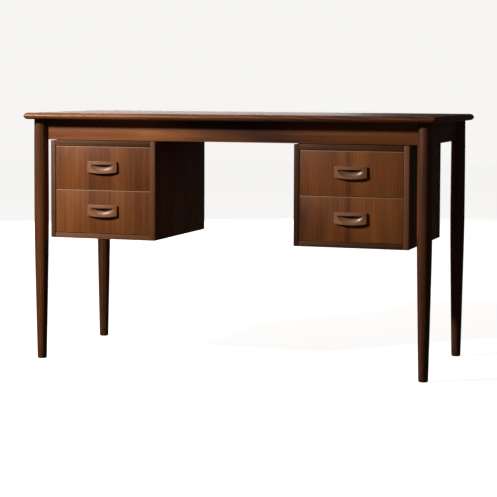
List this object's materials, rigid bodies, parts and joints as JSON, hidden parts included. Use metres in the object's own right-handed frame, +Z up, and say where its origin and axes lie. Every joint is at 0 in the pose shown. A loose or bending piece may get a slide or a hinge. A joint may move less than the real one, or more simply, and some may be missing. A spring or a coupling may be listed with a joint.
{
  "type": "writing desk",
  "caption": "Writing desk with a thin rounded top on round tapered legs, and a hung case of drawers with carved wooden pulls either side of an open kneehole.",
  "frame": {"origin": "on the floor under the middle of the top", "axes": "+X to the sitter's right along the desk's length, +Y away from the sitter, +Z up; the drawer fronts face -Y"},
  "size_m": [1.24, 0.54, 0.73],
  "materials": {
    "walnut_veneer": "satin oiled veneer",
    "solid_walnut": "satin oiled, turned and carved",
    "beech": "bare, sanded",
    "plywood": "bare, sanded"
  },
  "bodies": {
    "desk": {"tabletop": "walnut_veneer", "leg_front_left": "solid_walnut", "glue_block_front_left": "beech", "leg_front_right": "solid_walnut", "glue_block_front_right": "beech", "leg_back_left": "solid_walnut", "glue_block_back_left": "beech", "leg_back_right": "solid_walnut", "glue_block_back_right": "beech", "apron_front": "walnut_veneer", "apron_back": "walnut_veneer", "apron_left": "walnut_veneer", "apron_right": "walnut_veneer", "left_case_top": "walnut_veneer", "left_case_bottom": "walnut_veneer", "left_case_back": "plywood", "left_case_side_outer": "walnut_veneer", "left_bearer_outer": "beech", "left_lower_runner_outer": "beech", "left_upper_runner_outer": "beech", "left_case_side_inner": "walnut_veneer", "left_bearer_inner": "beech", "left_lower_runner_inner": "beech", "left_upper_runner_inner": "beech", "right_case_top": "walnut_veneer", "right_case_bottom": "walnut_veneer", "right_case_back": "plywood", "right_case_side_outer": "walnut_veneer", "right_bearer_outer": "beech", "right_lower_runner_outer": "beech", "right_upper_runner_outer": "beech", "right_case_side_inner": "walnut_veneer", "right_bearer_inner": "beech", "right_lower_runner_inner": "beech", "right_upper_runner_inner": "beech"},
    "left_upper_drawer": {"left_upper_drawer_front": "walnut_veneer", "left_upper_drawer_side_left": "beech", "left_upper_drawer_side_right": "beech", "left_upper_drawer_back": "beech", "left_upper_drawer_bottom": "plywood", "left_upper_drawer_pull": "solid_walnut"},
    "left_lower_drawer": {"left_lower_drawer_front": "walnut_veneer", "left_lower_drawer_side_left": "beech", "left_lower_drawer_side_right": "beech", "left_lower_drawer_back": "beech", "left_lower_drawer_bottom": "plywood", "left_lower_drawer_pull": "solid_walnut"},
    "right_upper_drawer": {"right_upper_drawer_front": "walnut_veneer", "right_upper_drawer_side_left": "beech", "right_upper_drawer_side_right": "beech", "right_upper_drawer_back": "beech", "right_upper_drawer_bottom": "plywood", "right_upper_drawer_pull": "solid_walnut"},
    "right_lower_drawer": {"right_lower_drawer_front": "walnut_veneer", "right_lower_drawer_side_left": "beech", "right_lower_drawer_side_right": "beech", "right_lower_drawer_back": "beech", "right_lower_drawer_bottom": "plywood", "right_lower_drawer_pull": "solid_walnut"}
  },
  "joints": [
    {"name": "left_upper_drawer_slide", "type": "slide", "parent": "desk", "child": "left_upper_drawer", "axis": [0, -1, 0], "range_m": [0, 0.3]},
    {"name": "left_lower_drawer_slide", "type": "slide", "parent": "desk", "child": "left_lower_drawer", "axis": [0, -1, 0], "range_m": [0, 0.3]},
    {"name": "right_upper_drawer_slide", "type": "slide", "parent": "desk", "child": "right_upper_drawer", "axis": [0, -1, 0], "range_m": [0, 0.3]},
    {"name": "right_lower_drawer_slide", "type": "slide", "parent": "desk", "child": "right_lower_drawer", "axis": [0, -1, 0], "range_m": [0, 0.3]}
  ]
}
